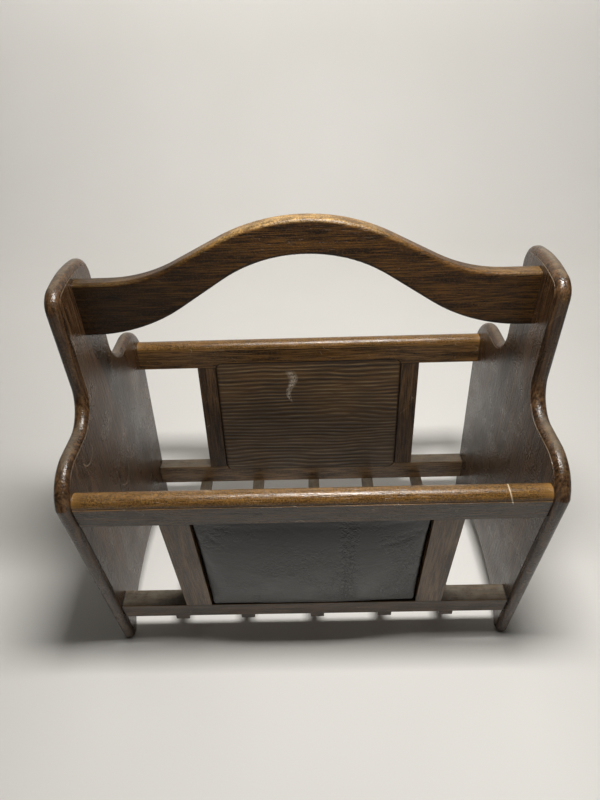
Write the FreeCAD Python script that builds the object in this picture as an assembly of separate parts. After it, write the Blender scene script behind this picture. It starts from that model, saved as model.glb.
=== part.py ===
"""Magazine rack: two shaped end panels, two leaning side frames, a bowed handle and a slatted floor.

Millimetres, +Z up.  The origin is on the floor, midway between the four feet.  X runs along the
handle, Y from the front frame (-Y) to the back frame (+Y).  The rack is the same front and back.
"""
import FreeCAD, Part
import math
import os

Vector = FreeCAD.Vector

# ---------------------------------------------------------------- driving dimensions
INNER_WIDTH = 420.0          # clear width between the two end panels
END_THICKNESS = 14.5         # end panel board
STOCK = 19.0                 # board the side frames are cut from
LEAN = 6.65                  # degrees each side frame leans outward from the vertical

FRAME_FOOT_Y = 95.0          # inner face of a side frame, at the height FRAME_FOOT_Z
FRAME_FOOT_Z = 50.0
SEAT_Z = 48.0                # level underside of the lower rails, where the floor slats are nailed
LOWER_RAIL_TOP = 24.0        # up the slope of the frame
TOP_RAIL_BOTTOM = 178.0
TOP_RAIL_SHOULDER = 202.0    # where the flat faces stop and the rounded grip edge starts

QUIRK = 0.7                  # small square step left beside every rounded-over edge
ROUND_OVER = 6.0             # end panel edge radius
RAIL_EASE = 1.2              # lower rail edges
STILE_EASE = 0.8

STILE_WIDTH = 28.0
STILE_CENTRE_X = 124.5
RABBET = 6.0                 # how far the inner panel laps onto rails and stiles, and its thickness
PANEL_CORNER = 10.0
PANEL_GAP = 0.35

PAD_GAP = 1.3                # dark gap left round the padded panel
PAD_BOARD_THICKNESS = 3.0
PAD_RIM = 18.8               # outward reach of the cover at its edge, from the frame's inner face
PAD_CROWN = 8.0             # how much the middle of the pad stands above its edge
LEATHER = 1.2
PAD_EDGE_RADIUS = 3.0

HANDLE_THICKNESS = 16.0
HANDLE_END_TOP = 402.8
HANDLE_END_BOTTOM = 349.4
HANDLE_TOP_RADIUS = 4.0
HANDLE_BOTTOM_RADIUS = 3.0

SLAT_X = (-147.0, -73.5, 4.0, 79.0, 147.0)   # floor slats, unevenly set
SLAT_WIDTH = 15.0
SLAT_THICKNESS = 6.0
SLAT_EASE = 0.6

DOWEL_RADIUS = 3.0
DOWEL_HALF_SPACING = 6.0
DOWEL_IN_END = 9.0
DOWEL_IN_RAIL = 15.0
STILE_DOWEL_HALF = 12.0
HANDLE_DOWEL_RADIUS = 4.0
HANDLE_DOWEL_HALF_SPACING = 14.0

NAIL_RADIUS = 0.9
NAIL_HEAD_RADIUS = 2.0
NAIL_HEAD_HEIGHT = 1.2
NAIL_LENGTH = 18.0

# End panel outline, front half mirrored from this back half: (y, z, corner radius).
HEAD_HALF_WIDTH = 46.5
VALLEY_Z = 283.5
FOOT_TRIM = 0.6              # the feet are planed off level by this much
END_OUTLINE = (
    (0.0, 416.5, 148.0),                     # crown of the head
    (HEAD_HALF_WIDTH, 408.3, 20.0),          # corner of the head
    (HEAD_HALF_WIDTH - 1.2, VALLEY_Z, 29.0), # hollow of the neck
    (131.0, VALLEY_Z, 45.0),                 # rounded shoulder
    (142.4, 252.2, 0.0),                     # shoulder point
    (112.9, -FOOT_TRIM, 7.5),               # toe
    (101.0, -FOOT_TRIM, 7.0),                # heel
    (78.0, 28.5, 60.0),                      # spring of the arch
    (0.0, 42.0, 200.0),                      # crown of the arch
)

# Handle outline, left half mirrored from this right half: (x, z, corner radius).
HANDLE_TOP_LINE = ((146.7, HANDLE_END_TOP, 139.0), (0.0, 477.0, 170.0))
HANDLE_BOTTOM_LINE = ((155.0, HANDLE_END_BOTTOM, 160.0), (0.0, 451.4, 135.4))


# ---------------------------------------------------------------- outlines
def corner_points(before, corner, after):
    """Return start, middle and end of the arc that rounds a corner, or None for a sharp one."""
    here = Vector(corner[0], corner[1], 0)
    radius = corner[2]
    if radius <= 0:
        return None
    back = (Vector(before[0], before[1], 0) - here).normalize()
    ahead = (Vector(after[0], after[1], 0) - here).normalize()
    half = back.getAngle(ahead) / 2
    reach = radius / math.tan(half)
    inward = (back + ahead).normalize()
    middle = here + inward * (radius / math.sin(half) - radius)
    return here + back * reach, middle, here + ahead * reach


def rounded_wire(corners, place):
    """Closed wire through (u, v, radius) corners, with place(u, v) giving each point in space."""
    count = len(corners)
    arcs = [corner_points(corners[i - 1], corners[i], corners[(i + 1) % count]) for i in range(count)]
    edges = []
    for i in range(count):
        if arcs[i]:
            edges.append(Part.Arc(*[place(p.x, p.y) for p in arcs[i]]).toShape())
            leave = place(arcs[i][2].x, arcs[i][2].y)
        else:
            leave = place(corners[i][0], corners[i][1])
        j = (i + 1) % count
        arrive = place(arcs[j][0].x, arcs[j][0].y) if arcs[j] else place(corners[j][0], corners[j][1])
        if (arrive - leave).Length > 1e-6:
            edges.append(Part.makeLine(leave, arrive))
    return Part.Wire(edges)


def mirrored(half_outline):
    """Whole outline from a half that starts and ends on the line u = 0."""
    inner = half_outline[1:-1]
    return list(half_outline) + [(-u, v, r) for u, v, r in reversed(inner)]


# ---------------------------------------------------------------- places on a leaning frame
def frame_point(side, x, out, up):
    """Point on a side frame: side -1 front or +1 back, out from its inner face, up its slope."""
    lean = math.radians(LEAN)
    y = FRAME_FOOT_Y + up * math.sin(lean) + out * math.cos(lean)
    z = FRAME_FOOT_Z + up * math.cos(lean) - out * math.sin(lean)
    return Vector(x, side * y, z)


def frame_axis(side, out, up):
    """Unit direction with the given parts outward and up the slope of a side frame."""
    return (frame_point(side, 0, out, up) - frame_point(side, 0, 0, 0)).normalize()


def frame_prism(side, x_low, x_high, section):
    """Bar along X whose cross-section is a closed list of (out, up) points."""
    points = [frame_point(side, x_low, out, up) for out, up in section]
    wire = Part.makePolygon(points + [points[0]])
    return Part.Face(wire).extrude(Vector(x_high - x_low, 0, 0))


def frame_plate(side, corners, out_low, out_high):
    """Plate lying on a side frame, outlined by (x, up, radius) corners, between two depths."""
    wire = rounded_wire(corners, lambda x, up: frame_point(side, x, out_low, up))
    return Part.Face(wire).extrude(frame_axis(side, 1, 0) * (out_high - out_low))


def box_corners(half_x, up_low, up_high, radius):
    """Rounded rectangle, centred on X, as (x, up, radius) corners."""
    return [(-half_x, up_low, radius), (half_x, up_low, radius),
            (half_x, up_high, radius), (-half_x, up_high, radius)]


def long_edges(shape, test):
    """Edges of a shape whose middle point passes a test."""
    return [e for e in shape.Edges if test(e.valueAt((e.FirstParameter + e.LastParameter) / 2), e)]


def along(edge, direction):
    """True for a straight edge that runs along a direction."""
    if len(edge.Vertexes) != 2:
        return False
    run = edge.Vertexes[1].Point - edge.Vertexes[0].Point
    return run.Length > 1e-6 and abs(abs(run.normalize().dot(direction)) - 1) < 1e-4


# ---------------------------------------------------------------- end panels
def end_panel(side):
    """End board with its whole outline rounded over both ways; side -1 is the left one."""
    core_low = INNER_WIDTH / 2 + QUIRK
    core_thick = END_THICKNESS - 2 * QUIRK
    outline = mirrored(END_OUTLINE)
    wire = rounded_wire(outline, lambda y, z: Vector(core_low, y, z))
    core = Part.Face(wire).extrude(Vector(core_thick, 0, 0))
    rims = long_edges(core, lambda p, e: abs(e.Vertexes[0].Point.x - e.Vertexes[-1].Point.x) < 1e-6)
    core = core.makeFillet(ROUND_OVER, rims)
    field = wire.makeOffset2D(-ROUND_OVER)
    face = Part.Face(field)
    inner_field = face.copy()
    inner_field.translate(Vector(-QUIRK, 0, 0))
    outer_field = face.copy()
    outer_field.translate(Vector(core_thick, 0, 0))
    panel = core.fuse([inner_field.extrude(Vector(QUIRK, 0, 0)), outer_field.extrude(Vector(QUIRK, 0, 0))])
    level = Part.makeBox(60, 400, 40, Vector(core_low - 20, -200, -40))
    panel = panel.cut(level).removeSplitter()
    if side < 0:
        panel = panel.mirror(Vector(0, 0, 0), Vector(1, 0, 0))
    return panel


# ---------------------------------------------------------------- rails and stiles
def top_rail(side):
    """Top rail of a side frame: square below, full rounded grip edge above with a quirk each side."""
    grip = STOCK / 2 - QUIRK
    shoulder = TOP_RAIL_SHOULDER
    x_low = -INNER_WIDTH / 2

    def at(out, up):
        return frame_point(side, x_low, out, up)

    arc = Part.Arc(at(QUIRK, shoulder), at(STOCK / 2, shoulder + grip), at(STOCK - QUIRK, shoulder))
    edges = [
        Part.makeLine(at(0, TOP_RAIL_BOTTOM), at(0, shoulder)),
        Part.makeLine(at(0, shoulder), at(QUIRK, shoulder)),
        arc.toShape(),
        Part.makeLine(at(STOCK - QUIRK, shoulder), at(STOCK, shoulder)),
        Part.makeLine(at(STOCK, shoulder), at(STOCK, TOP_RAIL_BOTTOM)),
        Part.makeLine(at(STOCK, TOP_RAIL_BOTTOM), at(0, TOP_RAIL_BOTTOM)),
    ]
    bar = Part.Face(Part.Wire(edges)).extrude(Vector(INNER_WIDTH, 0, 0))
    return bar.cut(rabbet(side))


def lower_rail(side):
    """Lower rail of a side frame: eased edges, underside planed level to seat the floor slats."""
    section = [(0, -6), (0, LOWER_RAIL_TOP), (STOCK, LOWER_RAIL_TOP), (STOCK, -6)]
    bar = frame_prism(side, -INNER_WIDTH / 2, INNER_WIDTH / 2, section)
    below = Part.makeBox(INNER_WIDTH + 20, 60, 40,
                         Vector(-INNER_WIDTH / 2 - 10, side * 104 - 30, SEAT_Z - 40))
    bar = bar.cut(below)
    run = Vector(1, 0, 0)
    bar = bar.makeFillet(RAIL_EASE, long_edges(bar, lambda p, e: along(e, run) and p.z > SEAT_Z + 1))
    return bar.cut(rabbet(side))


def stile(side, hand):
    """Upright of a side frame between its two rails; hand -1 is the left one."""
    x_mid = hand * STILE_CENTRE_X
    low = x_mid - STILE_WIDTH / 2
    section = [(0, LOWER_RAIL_TOP), (0, TOP_RAIL_BOTTOM), (STOCK, TOP_RAIL_BOTTOM), (STOCK, LOWER_RAIL_TOP)]
    post = frame_prism(side, low, low + STILE_WIDTH, section)
    slope = frame_axis(side, 0, 1)
    post = post.makeFillet(STILE_EASE, long_edges(post, lambda p, e: along(e, slope)))
    return post.cut(rabbet(side))


def rabbet(side):
    """Recess routed round the opening on the inner face of a frame for its inner panel."""
    corners = box_corners(panel_half_width(), LOWER_RAIL_TOP - RABBET, TOP_RAIL_BOTTOM + RABBET, PANEL_CORNER)
    return frame_plate(side, corners, -5, RABBET)


def panel_half_width():
    """Half the width of the recess for the inner panel."""
    return STILE_CENTRE_X - STILE_WIDTH / 2 + RABBET


def inner_panel(side):
    """Thin ribbed board let into the inner face of a frame."""
    corners = box_corners(panel_half_width() - PANEL_GAP, LOWER_RAIL_TOP - RABBET + PANEL_GAP,
                          TOP_RAIL_BOTTOM + RABBET - PANEL_GAP, PANEL_CORNER - PANEL_GAP)
    return frame_plate(side, corners, 0, RABBET)


# ---------------------------------------------------------------- padded panels
def pad_block(side, inset, rim, crown, radius):
    """Crowned block filling a frame opening, from the inner panel outward to its rim height."""
    half_x = STILE_CENTRE_X - STILE_WIDTH / 2 - PAD_GAP - inset
    low = LOWER_RAIL_TOP + PAD_GAP + inset
    high = TOP_RAIL_BOTTOM - PAD_GAP - inset
    block = frame_plate(side, box_corners(half_x, low, high, radius), RABBET, rim + crown)
    half_up = (high - low) / 2
    middle = (high + low) / 2
    sphere_x = (half_x ** 2 + crown ** 2) / (2 * crown)
    sphere_up = (half_up ** 2 + crown ** 2) / (2 * crown)
    across = Part.makeCylinder(sphere_x, 400, frame_point(side, 0, rim + crown - sphere_x, middle - 200),
                               frame_axis(side, 0, 1))
    along_x = Part.makeCylinder(sphere_up, 400, frame_point(side, -200, rim + crown - sphere_up, middle),
                                Vector(1, 0, 0))
    return block.common(across).common(along_x)


def pad_parts(side):
    """Board, foam and leather cover of one padded panel."""
    half_x = STILE_CENTRE_X - STILE_WIDTH / 2 - PAD_GAP - LEATHER
    low = LOWER_RAIL_TOP + PAD_GAP + LEATHER
    high = TOP_RAIL_BOTTOM - PAD_GAP - LEATHER
    radius = PAD_EDGE_RADIUS - LEATHER
    board = frame_plate(side, box_corners(half_x, low, high, radius), RABBET, RABBET + PAD_BOARD_THICKNESS)
    outside = pad_block(side, 0, PAD_RIM, PAD_CROWN, PAD_EDGE_RADIUS)
    inside = pad_block(side, LEATHER, PAD_RIM - LEATHER, PAD_CROWN, radius)
    cover = outside.cut(inside)
    foam = inside.cut(board)
    return board, foam, cover


# ---------------------------------------------------------------- handle
def handle():
    """Bowed handle board between the two heads."""
    half = INNER_WIDTH / 2
    top = [(half, HANDLE_END_TOP, 0)] + list(HANDLE_TOP_LINE)
    top += [(-x, z, r) for x, z, r in reversed(HANDLE_TOP_LINE[:-1])] + [(-half, HANDLE_END_TOP, 0)]
    bottom = [(-half, HANDLE_END_BOTTOM, 0)] + [(-x, z, r) for x, z, r in HANDLE_BOTTOM_LINE]
    bottom += list(reversed(HANDLE_BOTTOM_LINE[:-1])) + [(half, HANDLE_END_BOTTOM, 0)]
    low_y = -HANDLE_THICKNESS / 2
    wire = rounded_wire(top + bottom, lambda x, z: Vector(x, low_y, z))
    board = Part.Face(wire).extrude(Vector(0, HANDLE_THICKNESS, 0))

    def on_face(edge):
        ends = [v.Point for v in edge.Vertexes]
        same_y = abs(ends[0].y - ends[-1].y) < 1e-6
        upright = abs(ends[0].x - ends[-1].x) < 1e-6
        return same_y and not upright

    def is_top(p):
        return p.z > 380 + 75 * max(0.0, 1 - abs(p.x) / 150)

    upper = long_edges(board, lambda p, e: on_face(e) and is_top(p))
    board = board.makeFillet(HANDLE_TOP_RADIUS, upper)
    lower = long_edges(board, lambda p, e: on_face(e) and not is_top(p) and abs(abs(p.y) + low_y) < 1e-6)
    return board.makeFillet(HANDLE_BOTTOM_RADIUS, lower)


# ---------------------------------------------------------------- floor
def slat_half_length():
    """Half the length of a floor slat: it ends flush with the outer faces of the lower rails."""
    lean = math.radians(LEAN)
    up = (SEAT_Z - FRAME_FOOT_Z + STOCK * math.sin(lean)) / math.cos(lean)
    return frame_point(1, 0, STOCK, up).y


def floor_slat(x):
    """One floor slat, front to back under the lower rails."""
    half = slat_half_length()
    slat = Part.makeBox(SLAT_WIDTH, 2 * half, SLAT_THICKNESS,
                        Vector(x - SLAT_WIDTH / 2, -half, SEAT_Z - SLAT_THICKNESS))
    run = Vector(0, 1, 0)
    return slat.makeFillet(SLAT_EASE, long_edges(slat, lambda p, e: along(e, run)))


def nail(x, side):
    """Flat-headed nail driven up through a slat into a lower rail."""
    y = side * (slat_half_length() - STOCK / 2)
    foot = Vector(x, y, SEAT_Z - SLAT_THICKNESS)
    head = Part.makeCylinder(NAIL_HEAD_RADIUS, NAIL_HEAD_HEIGHT, foot)
    point = 2.5
    shank = Part.makeCylinder(NAIL_RADIUS, NAIL_LENGTH - point, foot)
    tip = Part.makeCone(NAIL_RADIUS, 0.2, point, foot + Vector(0, 0, NAIL_LENGTH - point))
    return head.fuse([shank, tip]).removeSplitter()


# ---------------------------------------------------------------- dowels
def rail_dowels():
    """Two dowels at each end of every rail, into the end panels."""
    pins = []
    rows = ((LOWER_RAIL_TOP / 2, DOWEL_HALF_SPACING - 1), (TOP_RAIL_BOTTOM + 14, DOWEL_HALF_SPACING + 1))
    for side in (-1, 1):
        for up, spread in rows:
            for hand in (-1, 1):
                for step in (-spread, spread):
                    start = frame_point(side, hand * (INNER_WIDTH / 2 - DOWEL_IN_RAIL), STOCK / 2, up + step)
                    pins.append(Part.makeCylinder(DOWEL_RADIUS, DOWEL_IN_RAIL + DOWEL_IN_END, start,
                                                  Vector(hand, 0, 0)))
    return pins


def stile_dowels():
    """One dowel at each end of every stile, into the rails."""
    pins = []
    for side in (-1, 1):
        slope = frame_axis(side, 0, 1)
        for hand in (-1, 1):
            for up in (LOWER_RAIL_TOP, TOP_RAIL_BOTTOM):
                start = frame_point(side, hand * STILE_CENTRE_X, STOCK / 2, up - STILE_DOWEL_HALF)
                pins.append(Part.makeCylinder(DOWEL_RADIUS, 2 * STILE_DOWEL_HALF, start, slope))
    return pins


def handle_dowels():
    """Two dowels at each end of the handle, into the heads of the end panels."""
    pins = []
    middle = (HANDLE_END_TOP + HANDLE_END_BOTTOM) / 2
    for hand in (-1, 1):
        for step in (-HANDLE_DOWEL_HALF_SPACING, HANDLE_DOWEL_HALF_SPACING):
            start = Vector(hand * (INNER_WIDTH / 2 - DOWEL_IN_RAIL - 3), 0, middle + step)
            pins.append(Part.makeCylinder(HANDLE_DOWEL_RADIUS, DOWEL_IN_RAIL + DOWEL_IN_END + 3, start,
                                          Vector(hand, 0, 0)))
    return pins


# ---------------------------------------------------------------- assembly
def build():
    """Every piece of the rack, by node name."""
    rail_pins = rail_dowels()
    stile_pins = stile_dowels()
    handle_pins = handle_dowels()
    nails = [nail(x, side) for x in SLAT_X for side in (-1, 1)]
    nodes = {
        "left_end_panel": end_panel(-1).cut(rail_pins + handle_pins),
        "right_end_panel": end_panel(1).cut(rail_pins + handle_pins),
        "handle": handle().cut(handle_pins),
    }
    for side, name in ((-1, "front"), (1, "back")):
        nodes[name + "_top_rail"] = top_rail(side).cut(rail_pins + stile_pins)
        nodes[name + "_lower_rail"] = lower_rail(side).cut(rail_pins + stile_pins + nails)
        nodes[name + "_left_stile"] = stile(side, -1).cut(stile_pins)
        nodes[name + "_right_stile"] = stile(side, 1).cut(stile_pins)
        nodes[name + "_inner_panel"] = inner_panel(side)
        board, foam, cover = pad_parts(side)
        nodes[name + "_pad_board"] = board
        nodes[name + "_pad_foam"] = foam
        nodes[name + "_pad_cover"] = cover
    for number, x in enumerate(SLAT_X, 1):
        nodes["floor_slat_%d" % number] = floor_slat(x).cut(nails)
    nodes["slat_nails"] = Part.makeCompound(nails)
    nodes["rail_dowels"] = Part.makeCompound(rail_pins)
    nodes["stile_dowels"] = Part.makeCompound(stile_pins)
    nodes["handle_dowels"] = Part.makeCompound(handle_pins)
    return nodes


def main():
    """Write one STEP file per node."""
    os.makedirs("parts", exist_ok=True)
    for name, shape in build().items():
        shape.exportStep("parts/%s.step" % name)
        box = shape.BoundBox
        print("%-18s solids %d valid %s volume %.0f box %.1f..%.1f %.1f..%.1f %.1f..%.1f" % (
            name, len(shape.Solids), shape.isValid(), shape.Volume, box.XMin, box.XMax,
            box.YMin, box.YMax, box.ZMin, box.ZMax))


main()
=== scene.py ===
"""Magazine rack: stained hardwood boards, ribbed inner panels, padded leather panels and a slatted floor.

Metres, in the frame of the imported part: X along the handle, Y from the front side frame to the
back one, Z up from the floor.  Boards keep the shapes of the part.  The ribbed inner panels and
the stuffed panels are modelled here, and every surface gets a procedural finish.
"""
import logging
import math
from dataclasses import dataclass, field, replace
from enum import Enum
from typing import Any, NamedTuple

import bmesh
import bpy
from mathutils import Matrix, Vector, noise


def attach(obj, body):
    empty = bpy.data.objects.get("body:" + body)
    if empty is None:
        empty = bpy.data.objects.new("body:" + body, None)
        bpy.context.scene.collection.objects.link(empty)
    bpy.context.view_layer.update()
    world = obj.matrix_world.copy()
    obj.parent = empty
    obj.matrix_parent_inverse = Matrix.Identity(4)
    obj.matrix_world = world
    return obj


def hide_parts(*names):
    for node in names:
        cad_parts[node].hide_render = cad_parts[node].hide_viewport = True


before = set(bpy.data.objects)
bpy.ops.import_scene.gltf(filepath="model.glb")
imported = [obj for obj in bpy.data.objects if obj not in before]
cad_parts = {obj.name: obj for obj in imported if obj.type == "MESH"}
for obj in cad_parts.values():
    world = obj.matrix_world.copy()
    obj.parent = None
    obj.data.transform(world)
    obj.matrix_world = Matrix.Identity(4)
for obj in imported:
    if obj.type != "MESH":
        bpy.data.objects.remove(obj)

LOG = logging.getLogger("magazine_rack")
MM = 0.001
LEAN = math.radians(6.65)  # each side frame leans outward by this much
FOOT_Y, FOOT_Z = 95.0 * MM, 50.0 * MM  # a point on a frame's inner face, from which its slope is measured
# Height of a side frame's foot line once the frame is turned upright.
SLOPE_ORIGIN = FOOT_Z * math.cos(LEAN) + FOOT_Y * math.sin(LEAN)
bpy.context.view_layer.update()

Socket = bpy.types.NodeSocket
VARNISH_IOR = 1.5
# What age leaves on wood: pale scratches, grey dust, black joint lines and a chalky scuff.
SCRATCH_PALE, DUST_GREY, JOINT_BLACK, SCUFF_PALE = "#b9a88f", "#7f7868", "#100a05", "#a89c8c"


class Kind(NamedTuple):
    """A kind of shader node: Blender's type, its settings, the sockets its values go to, and its output."""

    type: str
    settings: dict = {}
    sockets: tuple = (0, 1)
    output: int | str = 0


# The kinds of shader node in use: arithmetic, then on vectors, then the rest.
ADD, SUBTRACT, MULTIPLY, DIVIDE, ABSOLUTE, MAXIMUM, SINE, GREATER_THAN = (
    Kind("ShaderNodeMath", {"operation": name}) for name in
    ("ADD", "SUBTRACT", "MULTIPLY", "DIVIDE", "ABSOLUTE", "MAXIMUM", "SINE", "GREATER_THAN"))
MOVE, STRETCH, UNSIGNED = (
    Kind("ShaderNodeVectorMath", {"operation": name}) for name in ("ADD", "MULTIPLY", "ABSOLUTE"))
DOT, DISTANCE = (
    Kind("ShaderNodeVectorMath", {"operation": name}, output="Value") for name in ("DOT_PRODUCT", "DISTANCE"))
TURN, TURN_NORMAL = (
    Kind("ShaderNodeMapping", {"vector_type": name}, ("Vector", "Rotation")) for name in ("POINT", "VECTOR"))
RANGE = Kind("ShaderNodeMapRange", {}, ("Value", "From Min", "From Max", "To Min", "To Max"))
MIX = Kind("ShaderNodeMix", {"data_type": "RGBA"}, (0, 6, 7), 2)  # factor and two colours
RAMP = Kind("ShaderNodeValToRGB", {}, ("Fac",))
NOISE = Kind("ShaderNodeTexNoise", {}, ("Vector", "Scale", "Detail", "Roughness", "Distortion"))
CELLS = Kind("ShaderNodeTexVoronoi", {}, ("Vector", "Scale"), "Distance")
BUMP = Kind("ShaderNodeBump", {}, ("Height", "Distance", "Normal", "Strength"))
SPLIT = Kind("ShaderNodeSeparateXYZ")
PLACE = Kind("ShaderNodeTexCoord", output="Object")
NORMAL = Kind("ShaderNodeNewGeometry", output="Normal")
ATTRIBUTE = Kind("ShaderNodeAttribute", output="Fac")
PRINCIPLED = Kind("ShaderNodeBsdfPrincipled")
OUTPUT = Kind("ShaderNodeOutputMaterial", {}, ("Surface",))


def linear(code: str) -> tuple[float, float, float, float]:
    """Turns an sRGB hex colour into linear values.

    Args:
        code: six hex digits, with or without a leading #.

    Returns:
        Red, green, blue and an alpha of one.
    """
    digits = code.lstrip("#")
    channels = [int(digits[i:i + 2], 16) / 255 for i in (0, 2, 4)]
    red, green, blue = [c / 12.92 if c <= 0.04045 else ((c + 0.055) / 1.055) ** 2.4 for c in channels]
    return red, green, blue, 1.0


class Side(Enum):
    """The two side frames, by the sign of their place along Y."""

    FRONT = -1
    BACK = 1

    def place(self) -> Matrix:
        """Matrix from a side frame's own axes (x, outward, up the slope) to the rack's frame."""
        sign = self.value
        lean_cos, lean_sin = math.cos(LEAN), math.sin(LEAN)
        return Matrix((
            (1, 0, 0, 0),
            (0, sign * lean_cos, sign * lean_sin, sign * FOOT_Y),
            (0, -lean_sin, lean_cos, FOOT_Z),
            (0, 0, 0, 1),
        ))


class Grain(Enum):
    """Which board axes run along the grain, across it and through the board."""

    ALONG_X = (0, 2, 1)
    UP_FRAME = (2, 0, 1)
    UP_END = (2, 1, 0)
    ALONG_Y = (1, 0, 2)


@dataclass(frozen=True)
class Lay:
    """How one board lies: its grain direction, the lean of its frame and which plank it was cut from."""

    grain: Grain
    lean: float = 0.0
    plank: int = 0

    def per(self, along: float, across: float, through: float) -> tuple[float, float, float]:
        """Frequencies on the board axes.

        Args:
            along: feature length in millimetres along the grain.
            across: feature length across the grain.
            through: feature length through the board.

        Returns:
            Scale for x, y and z, in features per metre.
        """
        scale = [0.0, 0.0, 0.0]
        for axis, size in zip(self.grain.value, (along, across, through)):
            scale[axis] = 1 / (size * MM)
        return scale[0], scale[1], scale[2]

    def axis(self, which: int) -> tuple[float, float, float]:
        """Unit vector of board axis 0 along the grain, 1 across or 2 through."""
        return tuple(1.0 if i == self.grain.value[which] else 0.0 for i in range(3))


class Graph:
    """A material being wired, from its first node to its output."""

    def __init__(self, name: str) -> None:
        """Starts an empty node tree in a new material of this name."""
        self.material = bpy.data.materials.new(name)
        self.material.use_nodes = True
        self.tree = self.material.node_tree
        self.tree.nodes.clear()

    def add(self, kind: Kind, *values: Any, named: dict | None = None, output: int | str | None = None,
            stops: tuple = (), **settings: Any) -> Socket | None:
        """Adds one node with its settings and links.

        Args:
            kind: the kind of node.
            values: a constant, the socket that feeds it, or None, for each of the kind's sockets in order.
            named: the same by socket name, for a node of many sockets.
            output: which output to hand back, where it isn't the kind's usual one.
            stops: position and colour pairs for a ramp.
            settings: the node's own properties, past those of its kind.

        Returns:
            The chosen output socket, or None from a node that has none.
        """
        node = self.tree.nodes.new(kind.type)
        for name, value in {**kind.settings, **settings}.items():
            setattr(node, name, value)
        for key, value in {**dict(zip(kind.sockets, values)), **(named or {})}.items():
            if isinstance(value, Socket):
                self.tree.links.new(value, node.inputs[key])
            elif value is not None:
                node.inputs[key].default_value = value
        for index, (position, colour) in enumerate(stops):
            elements = node.color_ramp.elements
            stop = elements[index] if index < len(elements) else elements.new(position)
            stop.position, stop.color = position, colour
        return node.outputs[kind.output if output is None else output] if node.outputs else None

    def finish(self, shader: dict) -> bpy.types.Material:
        """Ends the graph in one principled surface.

        Args:
            shader: the principled node's inputs.

        Returns:
            The finished material.
        """
        self.add(OUTPUT, self.add(PRINCIPLED, named=shader))
        return self.material


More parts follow.
